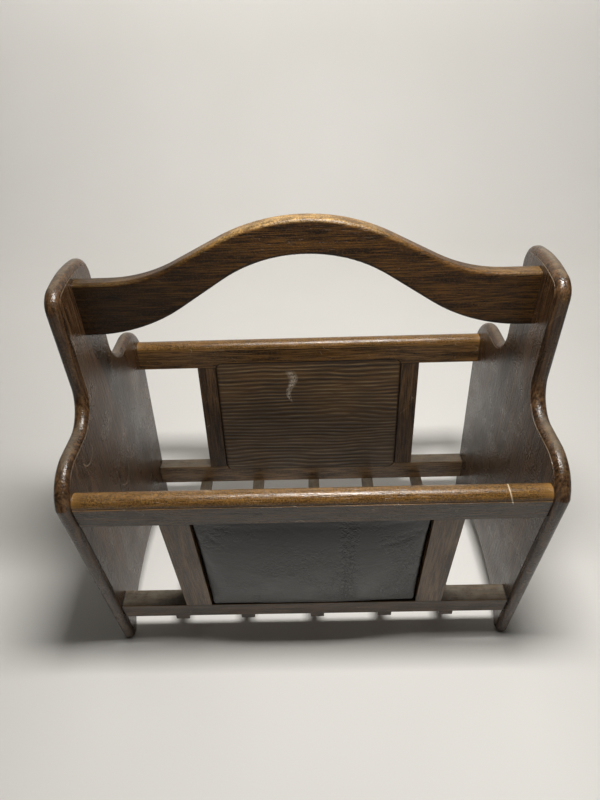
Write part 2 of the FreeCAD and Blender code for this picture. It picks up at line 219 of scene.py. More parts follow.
# ---------------- wood finishes
@dataclass(frozen=True)
class StainedWood:
    """Hardwood stained dark walnut and sealed with a satin varnish.

    The stain sinks deeper into open pores and early wood, so the eye sees long dark streaks; the
    varnish gives a soft sheen with a slightly pebbled skin; edges are rubbed back to lighter wood.
    """

    dark: str
    body: str
    light: str
    worn: str
    figure_mm: tuple[float, float] = (95.0, 9.0)  # length and width of a band of darker growth
    fibre_mm: tuple[float, float] = (30.0, 1.1)  # a real fibre is finer; drawn as wide as it can show
    pore_mm: tuple[float, float] = (24.0, 1.25)  # real pores are 0.2 mm wide; drawn wider to show
    figure_share: float = 0.32  # broad bands against fine fibres in the colour
    ring_mm: float = 13.0  # spacing of the growth rings on the face
    ring_wander: float = 2.2
    pebble_mm: float = 1.6  # orange peel of the brushed varnish
    pebble_depth: float = 0.16
    fibre_depth: float = 0.11
    pore_depth: float = 0.10
    ring_tone: float = 0.018  # how much the rings sway the colour
    pore_tone: float = 0.70  # how dark a pore is
    scratches: float = 0.38
    end_darkening: float = 0.0  # how much darker the board grows towards its left end
    seams: tuple[float, ...] = ()  # places along the grain of the dark joint lines, in metres
    speckle: float = 0.35  # pale specks on the peaks of the varnish's orange peel: a painted glint
    roughness: float = 0.36
    edge_wear: float = 0.55
    dust: float = 0.35
    specular: float = 0.4
    varnish: float = 0.12  # how much of the surface still has its glossy top coat

    def worn_mask(self, g: Graph, board: Socket, normal: Socket, rub: Socket) -> Socket:
        """Where handling has rubbed the stain thin: the eased edges of a square board.

        Args:
            g: the graph being wired.
            board: position on the board's own axes; not used here.
            normal: surface direction on the same axes.
            rub: patchy noise from 0 to 1.

        Returns:
            A factor from 0, untouched, to 1, bare.
        """
        turned = g.add(UNSIGNED, normal)
        parts = g.add(SPLIT, turned).node.outputs
        most = g.add(MAXIMUM, parts[0], g.add(MAXIMUM, parts[1], parts[2]))
        edge = g.add(RANGE, most, 0.985, 0.86)
        patchy = g.add(RANGE, rub, 0.32, 0.62, 0.25)
        return g.add(MULTIPLY, g.add(MULTIPLY, edge, patchy), self.edge_wear)

    def marks(self, g: Graph, board: Socket, lumber: Socket, lay: Lay) -> Socket:
        """Fine light scratches, as short pieces of wandering lines.

        Args:
            g: the graph being wired.
            board: position on the board's own axes; not used here.
            lumber: the same, moved to this board's own stretch of timber.
            lay: how the board lies.

        Returns:
            A factor from 0 to 1.
        """
        bands = g.add(NOISE, g.add(STRETCH, lumber, lay.per(60, 26, 26)), 1.0, 1.0, None, 0.6)
        near = g.add(SUBTRACT, bands, 0.5)
        line = g.add(RANGE, g.add(ABSOLUTE, near), 0.0035, 0.0005)
        spots = g.add(NOISE, lumber, 55.0, 2.0)
        kept = g.add(RANGE, spots, 0.56, 0.66, 0.0, self.scratches)
        return g.add(MULTIPLY, line, kept)

    def material(self, name: str, lay: Lay) -> bpy.types.Material:
        """Wires the finish for one board.

        Args:
            name: the new material's name.
            lay: how the board lies.

        Returns:
            The finished material.
        """
        g = Graph(name)
        place = g.add(PLACE)
        board = g.add(TURN, place, (lay.lean, 0, 0))
        normal = g.add(TURN_NORMAL, g.add(NORMAL), (lay.lean, 0, 0))
        shift = Vector((1.7, 2.3, 3.1)) * (0.37 * lay.plank + 0.2)
        lumber = g.add(MOVE, board, tuple(shift))

        wander = g.add(NOISE, g.add(STRETCH, lumber, lay.per(150, 34, 34)), 1.0, 2.0)
        across = g.add(DOT, lumber, lay.axis(1))
        turns = g.add(MULTIPLY, across, 2 * math.pi / (self.ring_mm * MM))
        swing = g.add(MULTIPLY, wander, 2 * math.pi * self.ring_wander)
        rings = g.add(SINE, g.add(ADD, turns, swing))
        figure, fibre, pores = (
            g.add(NOISE, g.add(STRETCH, lumber, lay.per(length, width, width)), 1.0, *texture)
            for (length, width), texture in ((self.figure_mm, (3.0, 0.55)), (self.fibre_mm, (4.0, 0.62)),
                                             (self.pore_mm, (2.0,))))
        pore = g.add(RANGE, pores, 0.57, 0.63)

        tone = g.add(ADD, g.add(MULTIPLY, figure, self.figure_share),
                     g.add(MULTIPLY, fibre, 1 - self.figure_share))
        tone = g.add(ADD, g.add(MULTIPLY, rings, self.ring_tone), tone)
        stain = ((0.41, self.dark), (0.50, self.body), (0.60, self.light))
        colour = g.add(RAMP, tone, stops=tuple((position, linear(code)) for position, code in stain))
        colour = g.add(MIX, g.add(MULTIPLY, pore, self.pore_tone), colour, linear(self.dark))

        rub = g.add(NOISE, g.add(STRETCH, lumber, lay.per(22, 7, 7)), 1.0, 5.0, 0.7)
        pebble = g.add(NOISE, board, 1 / (self.pebble_mm * MM), 2.0)
        # Pale specks where the orange peel stands highest: a painted glint.
        glint = g.add(RANGE, pebble, 0.5, 0.68, 0.0, self.speckle)
        colour = g.add(MIX, glint, colour, linear(self.light))
        worn = self.worn_mask(g, board, normal, rub)
        colour = g.add(MIX, worn, colour, linear(self.worn))
        scratch = self.marks(g, board, lumber, lay)
        colour = g.add(MIX, scratch, colour, linear(SCRATCH_PALE))

        level = g.add(SPLIT, g.add(NORMAL)).node.outputs[2]
        settled = g.add(RANGE, level, 0.8, 0.99)
        drift = g.add(NOISE, lumber, 90.0, 4.0, 0.7)
        film = g.add(RANGE, drift, 0.35, 0.65, 0.3)
        dusty = g.add(MULTIPLY, g.add(MULTIPLY, settled, film), self.dust)
        colour = g.add(MIX, dusty, colour, linear(DUST_GREY))
        # Darker away from a point 50 mm right of the middle: most at the left end, less at the right.
        if self.end_darkening:
            off = g.add(ADD, g.add(SPLIT, board).node.outputs[0], -50 * MM)
            far = g.add(RANGE, g.add(ABSOLUTE, off), 90 * MM, 240 * MM, 0.0, self.end_darkening)
            face = g.add(MULTIPLY, far, g.add(SUBTRACT, 1.0, worn))
            colour = g.add(MIX, face, colour, linear(self.dark))
        for seam in self.seams:
            along = g.add(DOT, board, lay.axis(0))
            gap = g.add(ABSOLUTE, g.add(SUBTRACT, along, seam))
            joint = g.add(RANGE, gap, 1.1 * MM, 0.5 * MM, 0.0, 0.85)
            colour = g.add(MIX, joint, colour, linear(JOINT_BLACK))
        smudge = g.add(NOISE, lumber, 28.0, 3.0)
        rough = g.add(RANGE, smudge, 0.3, 0.7, self.roughness - 0.07, self.roughness + 0.09)
        rough = g.add(ADD, rough, g.add(MULTIPLY, dusty, 0.35))

        skin = g.add(BUMP, pebble, self.pebble_depth * MM)
        sunk = g.add(BUMP, fibre, self.fibre_depth * MM, skin)
        relief = g.add(BUMP, pore, self.pore_depth * MM, sunk, invert=True)
        return g.finish({"Base Color": colour, "Roughness": rough, "IOR": VARNISH_IOR,
                         "Specular IOR Level": self.specular, "Coat Weight": self.varnish,
                         "Coat Roughness": 0.22, "Coat IOR": VARNISH_IOR, "Normal": relief})


@dataclass(frozen=True)
class EndBoardWood(StainedWood):
    """The end boards' finish: bullnosed edges rubbed along their crest, with a few curly scratches."""

    hooks: tuple = ()  # each: centre (y, z) in millimetres, radius, and the height under which it shows

    def worn_mask(self, g: Graph, board: Socket, normal: Socket, rub: Socket) -> Socket:
        """Rubs the rounded edge of the outline, which is where the surface turns away from X."""
        parts = g.add(SPLIT, g.add(UNSIGNED, normal)).node.outputs
        turn = g.add(RANGE, parts[0], 0.97, 0.55)
        patchy = g.add(RANGE, rub, 0.44, 0.66)
        grit = g.add(NOISE, board, 1 / (1.4 * MM), 1.0)
        speck = g.add(RANGE, grit, 0.44, 0.6, 0.25)
        rubbed = g.add(MULTIPLY, g.add(MULTIPLY, turn, patchy), speck)
        return g.add(MULTIPLY, rubbed, self.edge_wear)

    def marks(self, g: Graph, board: Socket, lumber: Socket, lay: Lay) -> Socket:
        """Adds the hooked scratches of the left board to the usual ones."""
        found = super().marks(g, board, lumber, lay)
        for (y, z), radius, level in self.hooks:
            flat = g.add(STRETCH, board, (0.0, 1.0, 1.0))
            reach = g.add(DISTANCE, flat, (0.0, y * MM, z * MM))
            ring = g.add(ABSOLUTE, g.add(SUBTRACT, reach, radius * MM))
            line = g.add(RANGE, ring, 0.7 * MM, 0.2 * MM, 0.0, 0.38)
            height = g.add(SPLIT, board).node.outputs[2]
            kept = g.add(GREATER_THAN, level * MM, height)
            found = g.add(MAXIMUM, found, g.add(MULTIPLY, line, kept))
        return found


@dataclass(frozen=True)
class HandleWood(StainedWood):
    """The handle's finish: the rounded top is polished golden by hands, most of all in the middle."""

    grip_half: float = 105.0 * MM
    grip_off: float = 12.0 * MM  # hands wear the grip a little left of its middle
    end_bare: tuple[float, float] = (140 * MM, 175 * MM)  # the top grows pale again from here to here

    def worn_mask(self, g: Graph, board: Socket, normal: Socket, rub: Socket) -> Socket:
        """Rubs the top in the middle, a thin line along the front arris, and the two bare ends of the top."""
        parts = g.add(SPLIT, normal).node.outputs
        top = g.add(RANGE, parts[2], 0.15, 0.7)
        place = g.add(SPLIT, board).node.outputs[0]
        off = g.add(ABSOLUTE, g.add(ADD, place, self.grip_off))
        middle = g.add(RANGE, off, 30 * MM, self.grip_half, 1.0, 0.06)
        end = g.add(RANGE, g.add(ABSOLUTE, place), *self.end_bare, 0.0, 0.42)
        held = g.add(MULTIPLY, top, g.add(MAXIMUM, middle, end))
        crest = g.add(DOT, normal, (0.0, -0.78, 0.62))
        arris = g.add(RANGE, crest, 0.975, 0.998, 0.0, 0.4)
        patchy = g.add(RANGE, rub, 0.36, 0.6, 0.15)
        grit = g.add(NOISE, board, 1 / (1.3 * MM), 1.0)
        speck = g.add(RANGE, grit, 0.4, 0.6, 0.35)
        rubbed = g.add(MULTIPLY, g.add(MAXIMUM, held, arris), patchy)
        rubbed = g.add(MULTIPLY, rubbed, speck)
        return g.add(MULTIPLY, rubbed, self.edge_wear)


@dataclass(frozen=True)
class GripRailWood(StainedWood):
    """A top rail's finish: its rounded grip edge is rubbed golden and pale at the two ends."""

    shoulder: float = 202.0 * MM  # height of the quirk on the slope
    tip: tuple[float, float] = (190 * MM, 209 * MM)  # the grip's ends grow pale from here to here
    bare_line: bool = False
    line_at: float = 174.0 * MM  # place of the bare line along the rail, and how much it leans
    line_lean: float = 0.32

    def worn_mask(self, g: Graph, board: Socket, normal: Socket, rub: Socket) -> Socket:
        """Rubs everything above the quirk, and the last few millimetres of the grip at each end."""
        parts = g.add(SPLIT, board).node.outputs
        rise = g.add(RANGE, parts[2], SLOPE_ORIGIN + self.shoulder - 0.4 * MM,
                     SLOPE_ORIGIN + self.shoulder + 3 * MM)
        patchy = g.add(RANGE, rub, 0.34, 0.62, 0.45)
        grit = g.add(NOISE, board, 1 / (1.05 * MM), 1.0)
        speck = g.add(RANGE, grit, 0.42, 0.6, 0.12)
        grip = g.add(MULTIPLY, g.add(MULTIPLY, rise, patchy), speck)
        grip = g.add(MULTIPLY, grip, self.edge_wear)
        along = g.add(ABSOLUTE, parts[0])
        tip = g.add(RANGE, along, *self.tip, 0.0, 0.75)
        ends = g.add(MULTIPLY, g.add(MULTIPLY, tip, tip), rise)
        rubbed = g.add(MAXIMUM, grip, ends)
        drop = g.add(SUBTRACT, parts[2], SLOPE_ORIGIN + self.shoulder)
        line = g.add(RANGE, g.add(ABSOLUTE, drop), 0.9 * MM, 0.4 * MM, 0.0, 0.24)
        quirk = g.add(MULTIPLY, line, patchy)
        return g.add(MAXIMUM, rubbed, quirk)

    def marks(self, g: Graph, board: Socket, lumber: Socket, lay: Lay) -> Socket:
        """Adds one thin bare line across the grip near its right end to the usual scratches."""
        usual = super().marks(g, board, lumber, lay)
        if not self.bare_line:
            return usual
        parts = g.add(SPLIT, board).node.outputs
        drop = g.add(SUBTRACT, SLOPE_ORIGIN + 206 * MM, parts[2])
        lean = g.add(ADD, g.add(MULTIPLY, drop, self.line_lean), self.line_at)
        gap = g.add(ABSOLUTE, g.add(SUBTRACT, parts[0], lean))
        line = g.add(RANGE, gap, 0.75 * MM, 0.35 * MM, 0.0, 0.9)
        high = g.add(RANGE, parts[2], SLOPE_ORIGIN + 198 * MM, SLOPE_ORIGIN + 201 * MM)
        cut = g.add(MULTIPLY, line, high)
        return g.add(MAXIMUM, usual, cut)


@dataclass(frozen=True)
class RibbedBoard:
    """Softwood board with its soft grain brushed out, then stained dark.

    The hard growth lines stand as low wavy ribs that catch the light, and stain pools between them.
    """

    ridge: str = "#4c3821"
    valley: str = "#20150a"
    warm: str = "#593f22"
    pale: str = "#7c6a4e"
    chalk_mark: bool = False
    roughness: float = 0.47
    fibre_mm: tuple[float, float, float] = (22, 1.2, 1.2)  # drawn wide enough to show
    hair_mm: tuple[float, float, float] = (45, 1.5, 1.5)  # pale broken lines on the crests: a painted highlight

    def material(self, name: str, side: Side) -> bpy.types.Material:
        """Wires the finish; it reads the board's own rib height, which the mesh carries.

        Args:
            name: the new material's name.
            side: which side frame the board is in.

        Returns:
            The finished material.
        """
        g = Graph(name)
        place = g.add(PLACE)
        board = g.add(TURN, place, (side.value * LEAN, 0, 0))
        rib = g.add(ATTRIBUTE, attribute_name="rib")
        fibre = g.add(NOISE, g.add(STRETCH, board, tuple(1 / (size * MM) for size in self.fibre_mm)),
                      1.0, 4.0, 0.65)
        patch = g.add(NOISE, board, 22.0, 3.0)
        crest = g.add(RANGE, rib, 0.18, 0.85)
        hairs = g.add(NOISE, g.add(STRETCH, board, tuple(1 / (size * MM) for size in self.hair_mm)),
                      1.0, 2.0, None, 0.4)
        hair = g.add(RANGE, hairs, 0.42, 0.6, 0.05, 0.7)
        ridge_line = g.add(RANGE, rib, 0.86, 0.97)
        lit = g.add(MULTIPLY, crest, g.add(RANGE, fibre, 0.3, 0.62, 0.35))
        top = g.add(MIX, g.add(RANGE, patch, 0.4, 0.62), linear(self.ridge), linear(self.warm))
        colour = g.add(MIX, lit, linear(self.valley), top)
        # Pale lines along the rib tops: a painted highlight.
        colour = g.add(MIX, g.add(MULTIPLY, hair, ridge_line), colour, linear(self.pale))
        if self.chalk_mark:
            colour = self.chalk(g, board, colour)
        rough = g.add(RANGE, fibre, 0.3, 0.7, self.roughness - 0.08, self.roughness + 0.1)
        relief = g.add(BUMP, fibre, 0.16 * MM)
        return g.finish({"Base Color": colour, "Roughness": rough, "IOR": VARNISH_IOR, "Coat Weight": 0.18,
                         "Coat Roughness": 0.30, "Coat IOR": VARNISH_IOR, "Normal": relief})

    def chalk(self, g: Graph, board: Socket, colour: Socket) -> Socket:
        """Adds a pale scuff that bends down the left of the board's upper half.

        Args:
            g: the graph being wired.
            board: position on the board's own axes.
            colour: the colour so far.

        Returns:
            The colour with the scuff over it.
        """
        parts = g.add(SPLIT, board).node.outputs
        up = g.add(SUBTRACT, parts[2], SLOPE_ORIGIN + 148 * MM)
        bend = g.add(SINE, g.add(MULTIPLY, up, 150.0))
        middle = g.add(ADD, g.add(MULTIPLY, bend, 3.4 * MM), -22.5 * MM)
        off = g.add(ABSOLUTE, g.add(SUBTRACT, parts[0], middle))
        taper = g.add(RANGE, up, -24 * MM, 14 * MM, 1.3, 5.2)
        inside = g.add(SUBTRACT, 1.35, g.add(DIVIDE, g.add(MULTIPLY, off, 1 / MM), taper), use_clamp=True)
        reach = g.add(RANGE, g.add(ABSOLUTE, up), 24 * MM, 17 * MM)
        streaks = g.add(NOISE, g.add(STRETCH, board, (900.0, 900.0, 300.0)), 1.0, 3.0, 0.7)
        broken = g.add(RANGE, streaks, 0.42, 0.56, 0.0, 0.95)
        mark = g.add(MULTIPLY, g.add(MULTIPLY, inside, reach), broken)
        return g.add(MIX, mark, colour, linear(SCUFF_PALE))


# ---------------- other finishes
@dataclass(frozen=True)
class BlackLeather:
    """Black upholstery leather, plated with a fine pebble grain and worn to a low sheen.

    The grain breaks the reflection of the floor into a soft grey bloom on a near-black skin.
    """

    skin: str = "#101112"
    rubbed: str = "#1d1c1b"
    grain_mm: float = 1.15  # real grain is near 0.5 mm; drawn coarser so that it shows
    roughness: float = 0.33

    def material(self, name: str, side: Side) -> bpy.types.Material:
        """Wires the leather for the pad of one side frame.

        Args:
            name: the new material's name.
            side: which side frame the pad is in.

        Returns:
            The finished material.
        """
        g = Graph(name)
        place = g.add(PLACE)
        board = g.add(TURN, place, (side.value * LEAN, 0, 0))
        cells = g.add(CELLS, board, 1 / (self.grain_mm * MM))
        pull = g.add(NOISE, g.add(STRETCH, board, (95.0, 95.0, 120.0)), 1.0, 4.0, 0.6, 0.8)
        cloud = g.add(NOISE, board, 30.0, 4.0, 0.6)
        colour = g.add(MIX, g.add(RANGE, cloud, 0.4, 0.64), linear(self.skin), linear(self.rubbed))
        rough = g.add(RANGE, cloud, 0.3, 0.7, self.roughness - 0.06, self.roughness + 0.08)
        stray = g.add(NOISE, board, 160.0, 2.0, output="Color")
        bent = g.add(MOVE, g.add(STRETCH, stray, (11 * MM,) * 3), board)
        plates = g.add(CELLS, g.add(STRETCH, bent, (190.0, 190.0, 120.0)), 1.0,
                       feature="DISTANCE_TO_EDGE")
        crack = g.add(RANGE, plates, 0.16, 0.0)
        patch = g.add(NOISE, board, 24.0, 3.0, 0.6)
        flexed = g.add(RANGE, patch, 0.46, 0.62, 0.05, 0.55)
        place_x = g.add(SPLIT, board).node.outputs[0]
        off = g.add(ABSOLUTE, g.add(ADD, place_x, side.value * 35 * MM))
        column = g.add(RANGE, off, 13 * MM, 5 * MM, 0.0, 0.85)
        worked = g.add(MULTIPLY, crack, g.add(MAXIMUM, flexed, column))
        fine = g.add(BUMP, cells, 0.06 * MM)
        broken = g.add(BUMP, worked, 0.5 * MM, fine, invert=True)
        slack = g.add(BUMP, pull, 0.45 * MM, broken)
        return g.finish({"Base Color": colour, "Roughness": rough, "IOR": VARNISH_IOR, "Coat Weight": 0.10,
                         "Coat Roughness": 0.35, "Coat IOR": VARNISH_IOR, "Normal": slack})


@dataclass(frozen=True)
class PlainFinish:
    """A small or hidden part's finish: one ground colour broken by its own speckle, and a fine relief."""

    ground: str
    speck: str
    speck_mm: float
    roughness: float
    metallic: float = 0.0
    relief_mm: float = 0.05

    def material(self, name: str) -> bpy.types.Material:
        """Wires the finish.

        Args:
            name: the new material's name.

        Returns:
            The finished material.
        """
        g = Graph(name)
        place = g.add(PLACE)
        grit = g.add(NOISE, place, 1 / (self.speck_mm * MM), 4.0, 0.65)
        colour = g.add(MIX, g.add(RANGE, grit, 0.38, 0.64), linear(self.ground), linear(self.speck))
        rough = g.add(RANGE, grit, 0.3, 0.7, self.roughness - 0.08, self.roughness + 0.08)
        relief = g.add(BUMP, grit, self.relief_mm * MM)
        return g.finish({"Base Color": colour, "Roughness": rough, "Metallic": self.metallic, "Normal": relief})


# Wire nails: drawn steel, dulled and spotted by age.
NAIL_STEEL = PlainFinish("#77736c", "#4a3a2c", 0.9, 0.42, 1.0, 0.02)
# Fluted beech dowels: pale turned wood with short flecks.
DOWEL_BEECH = PlainFinish("#b88f62", "#a3784c", 1.4, 0.6, 0.0, 0.06)
# Hardboard: pressed brown fibre with a slightly fuzzy face.
HARDBOARD = PlainFinish("#5d4128", "#46301d", 1.8, 0.8, 0.0, 0.08)
# Upholstery foam: open cream cells that scatter light.
FOAM = PlainFinish("#cdbd92", "#b7a475", 1.0, 0.95, 0.0, 0.25)


# ---------------- mesh helpers
def make_piece(name: str, mesh: bmesh.types.BMesh, material: bpy.types.Material) -> bpy.types.Object:
    """Turns a bmesh into a finished, smooth-shaded object at the origin.

    Args:
        name: the piece's name.
        mesh: its shape, which is freed.
        material: its finish.

    Returns:
        The new object.
    """
    data = bpy.data.meshes.new(name)
    mesh.to_mesh(data)
    mesh.free()
    data.shade_smooth()
    data.materials.append(material)
    piece = bpy.data.objects.new(name, data)
    bpy.context.scene.collection.objects.link(piece)
    return piece


def dress(node: str, material: bpy.types.Material) -> None:
    """Gives a board that keeps the part's shape its finish."""
    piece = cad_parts[node]
    for slot in piece.material_slots:
        slot.material = material
    LOG.info("%s: %s", node, material.name)


def cut_away(mesh: bmesh.types.BMesh, point: Vector | tuple, outward: Vector | tuple) -> list:
    """Cuts off what lies outward of a plane, leaving it open, and returns the cut's edges and corners."""
    return bmesh.ops.bisect_plane(mesh, geom=[*mesh.verts, *mesh.edges, *mesh.faces], plane_co=point,
                                  plane_no=outward, clear_outer=True)["geom_cut"]


def smooth_step(value: float, low: float, high: float) -> float:
    """Rises smoothly from 0 at low to 1 at high."""
    t = min(1.0, max(0.0, (value - low) / (high - low)))
    return t * t * (3 - 2 * t)


# ---------------- ribbed panels
@dataclass
class RibbedPanel:
    """Thin ribbed board let into the inner face of a side frame."""

    side: Side
    half_width: float = 116.15 * MM
    low: float = 18.35 * MM
    high: float = 183.65 * MM
    corner: float = 9.65 * MM
    thickness: float = 6.0 * MM
    rib_pitch: float = 5.5 * MM
    rib_depth: float = 0.75 * MM
    columns: int = 92
    rows: int = 290
    corner_cuts: int = 6
    rim_drop: float = 1.6 * MM  # the sawn edge is eased down this far
    rim_flat: float = 1.2 * MM  # the board takes its darkest groove colour within this of the edge
    rim_ease: float = 1.4 * MM  # and the ribs rise over this distance
    sharp_angle: float = math.radians(50)

    def rib_height(self, x: float, up: float) -> float:
        """Height of the brushed grain at a place, from 0 in a groove to 1 on a rib.

        Args:
            x: place along the panel.
            up: place up its slope.

        Returns:
            The height, as a fraction of the full depth.
        """
        seed = 3.0 if self.side is Side.BACK else 11.0
        sway = noise.noise(Vector((x / 0.075, up / 0.035, seed))) * 0.85
        ripple = noise.noise(Vector((x / 0.030, up / 0.012, seed + 5))) * 0.20
        pitch_drift = noise.noise(Vector((0.0, up / 0.05, seed + 9))) * 0.9
        wave = 0.5 + 0.5 * math.cos(2 * math.pi * (up / self.rib_pitch + sway + ripple + pitch_drift))
        strength = 0.60 + 0.50 * noise.noise(Vector((x / 0.08, up / 0.010, seed + 2)))
        hair = 0.10 * noise.noise(Vector((x / 0.030, up / 0.0016, seed + 7)))
        return min(1.0, max(0.0, 1 - (1 - wave ** 0.8) * strength + hair))

    def board(self) -> bmesh.types.BMesh:
        """Shapes the board: a fine sheet cut to a rounded oblong, ribbed, then given its thickness."""
        mesh = bmesh.new()
        middle = (self.low + self.high) / 2
        half_height = (self.high - self.low) / 2
        bmesh.ops.create_grid(mesh, x_segments=self.columns, y_segments=self.rows, size=1.0)
        bmesh.ops.scale(mesh, verts=mesh.verts, vec=(self.half_width, half_height, 1.0))
        for sign_x, sign_y in ((1, 1), (-1, 1), (-1, -1), (1, -1)):
            centre = Vector((sign_x * (self.half_width - self.corner),
                             sign_y * (half_height - self.corner), 0))
            for cut in range(self.corner_cuts):
                angle = math.pi / 2 * (cut + 0.5) / self.corner_cuts
                outward = Vector((sign_x * math.cos(angle), sign_y * math.sin(angle), 0))
                cut_away(mesh, centre + outward * self.corner, outward)
        bmesh.ops.remove_doubles(mesh, verts=mesh.verts, dist=1e-6)
        rib = mesh.verts.layers.float.new("rib")
        rim = {v for e in mesh.edges if e.is_boundary for v in e.verts}
        for vert in mesh.verts:
            edge_gap = min(self.half_width - abs(vert.co.x), half_height - abs(vert.co.y))
            vert[rib] = self.rib_height(vert.co.x, vert.co.y + middle)
            ease = smooth_step(edge_gap, 0.0, self.rim_ease)
            depth = (1 - vert[rib]) * self.rib_depth * (0.35 + 0.65 * ease)
            vert.co.z = -depth - (self.rim_drop if vert in rim else 0.0)
            if edge_gap < self.rim_flat or vert in rim:
                vert[rib] = 0.0
        border = [e for e in mesh.edges if e.is_boundary]
        wall = bmesh.ops.extrude_edge_only(mesh, edges=border)["geom"]
        for vert in (v for v in wall if isinstance(v, bmesh.types.BMVert)):
            vert.co.z = -self.thickness
            vert[rib] = 0.2
        bmesh.ops.holes_fill(mesh, edges=[e for e in mesh.edges if e.is_boundary])
        bmesh.ops.recalc_face_normals(mesh, faces=mesh.faces)
        # The sheet lay flat with its ribs up: stand it in the side frame with its ribs inward.
        stand = Matrix(((1, 0, 0, 0), (0, 0, -1, 0), (0, 1, 0, middle), (0, 0, 0, 1)))
        bmesh.ops.transform(mesh, matrix=self.side.place() @ stand, verts=mesh.verts)
        bmesh.ops.recalc_face_normals(mesh, faces=mesh.faces)
        return mesh

    def build(self) -> None:
        """Makes the panel, in place of the part's plain one."""
        name = self.side.name.lower()
        finish = RibbedBoard(chalk_mark=self.side is Side.BACK)
        piece = make_piece(f"{name}_ribbed_panel", self.board(),
                           finish.material(f"brushed_softwood_{name}", self.side))
        piece.data.set_sharp_from_angle(angle=self.sharp_angle)
        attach(piece, "root")
        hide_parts(f"{name}_inner_panel")
        LOG.info("%s: %d faces", piece.name, len(piece.data.polygons))


# ---------------- stuffed pads
@dataclass
class StuffedPad:
    """A foam pad under a leather cover, pulled tight round a board and set in a side frame."""

    side: Side
    half_width: float = 110.1 * MM
    low: float = 24.4 * MM
    high: float = 177.6 * MM
    back: float = 6.0 * MM  # outward place of the cover's turned-under edge
    board_face: float = 9.0 * MM  # the hardboard ends here and the foam starts
    rim: float = 19.6 * MM  # outward reach of the slack cover at its edge
    shrink: float = 0.4 * MM  # the slack cover starts this much smaller all round
    corner: float = 1.4 * MM
    voxel: float = 2.9 * MM
    pressure: float = 4.0
    frames: int = 20
    cap: float = 4.0 * MM  # how far the stuffing may push any point
    sideways: float = 0.9 * MM  # the opening holds the cover, so it can hardly spread
    leather: float = 1.1 * MM
    crown: float = 26.7 * MM  # outward reach of the fullest point
    edge: float = 18.5 * MM  # the cover's reach where it turns down into the gap
    top_fall: float = 4.6 * MM  # it turns down this much deeper under the top rail
    side_fall: float = 2.4 * MM  # and this much deeper at one upright
    fullest: tuple[float, float] = (-12 * MM, 84 * MM)
    tight: float = 0.93  # how far the cover is drawn to its crown
    held: float = 3.0 * MM  # the tacked strip above the cover's turned-under edge
    stretch: float = 14.0  # the cloth's stiffness in its plane, and in bending
    bending: float = 0.5
    crumple_at: float = 35 * MM  # a column of crumpled leather right of the middle
    crumple_half: float = 7.5 * MM
    crumple_depth: float = 0.55 * MM
    slack_depth: float = 0.16 * MM
    pull_depth: float = 0.45 * MM
    # Pulls that run down from the upper corners: start, end and width in millimetres.
    pulls: tuple = (((104, 157), (70, 147), 2.4), ((101, 150), (60, 137), 3.0), ((-99, 160), (-84, 143), 2.6))
    _moved: list[float] = field(default_factory=list)

    def slack_block(self) -> bmesh.types.BMesh:
        """The slack cover: a closed block with softened edges, on the side frame's own axes."""
        mesh = bmesh.new()
        bmesh.ops.create_cube(mesh, size=1.0)
        size = Vector((2 * (self.half_width - self.shrink), self.rim - self.back,
                       self.high - self.low - 2 * self.shrink))
        bmesh.ops.scale(mesh, verts=mesh.verts, vec=size)
        bmesh.ops.translate(mesh, verts=mesh.verts,
                            vec=(0, (self.rim + self.back) / 2, (self.low + self.high) / 2))
        bmesh.ops.bevel(mesh, geom=[e for e in mesh.edges if max(v.co.y for v in e.verts) > self.back + MM],
                        offset=self.corner, offset_type="OFFSET", affect="EDGES", segments=3, profile=0.5,
                        material=-1)
        return mesh

    def stuff(self, piece: bpy.types.Object) -> None:
        """Inflates the slack cover as cloth, holding its turned-under back still.

        Args:
            piece: the slack cover on the side frame's own axes; its mesh is changed.
        """
        remesh = piece.modifiers.new("even_weave", "REMESH")
        remesh.mode, remesh.voxel_size, remesh.use_smooth_shade = "VOXEL", self.voxel, True
        self.apply(piece)
        start = [v.co.copy() for v in piece.data.vertices]
        held = piece.vertex_groups.new(name="held")
        held.add([i for i, co in enumerate(start) if co.y < self.back + self.held], 1.0, "REPLACE")
        cloth = piece.modifiers.new("stuffing", "CLOTH")
        cloth.settings.quality = 6
        cloth.settings.use_pressure = True
        cloth.settings.uniform_pressure_force = self.pressure
        cloth.settings.effector_weights.gravity = 0
        cloth.settings.vertex_group_mass = held.name
        cloth.settings.tension_stiffness = cloth.settings.compression_stiffness = self.stretch
        cloth.settings.bending_stiffness = self.bending
        cloth.point_cache.frame_start, cloth.point_cache.frame_end = 1, self.frames
        scene = bpy.context.scene
        for step in range(1, self.frames + 1):
            scene.frame_set(step)
        self.apply(piece)
        scene.frame_set(1)
        for vert, origin in zip(piece.data.vertices, start):
            move = vert.co - origin
            self._moved.append(move.length)
            if move.length > self.cap:
                move *= self.cap / move.length
            move.x = max(-self.sideways, min(self.sideways, move.x))
            move.z = max(-self.sideways, min(self.sideways, move.z))
            vert.co = origin + move
        piece.vertex_groups.clear()

    @staticmethod
    def apply(piece: bpy.types.Object) -> None:
        """Replaces a piece's mesh by what its modifiers make of it, and removes them."""
        graph = bpy.context.evaluated_depsgraph_get()
        shaped = bpy.data.meshes.new_from_object(piece.evaluated_get(graph))
        piece.modifiers.clear()
        piece.data = shaped

    def crown_of(self, x: float, up: float) -> float:
        """How full the foam stands at a place, from 0 at the pad's edge to 1 in its middle."""
        centre_x, centre_up = self.fullest
        side = self.half_width + (centre_x if x < centre_x else -centre_x)
        reach = centre_up - self.low if up < centre_up else self.high - centre_up
        across = 1 - min(1.0, abs(x - centre_x) / side) ** 2.6
        upward = 1 - min(1.0, abs(up - centre_up) / reach) ** 2.0
        return (max(0.0, across) ** (0.6 if x < centre_x else 0.8)
                * max(0.0, upward) ** (0.62 if up < centre_up else 0.95))

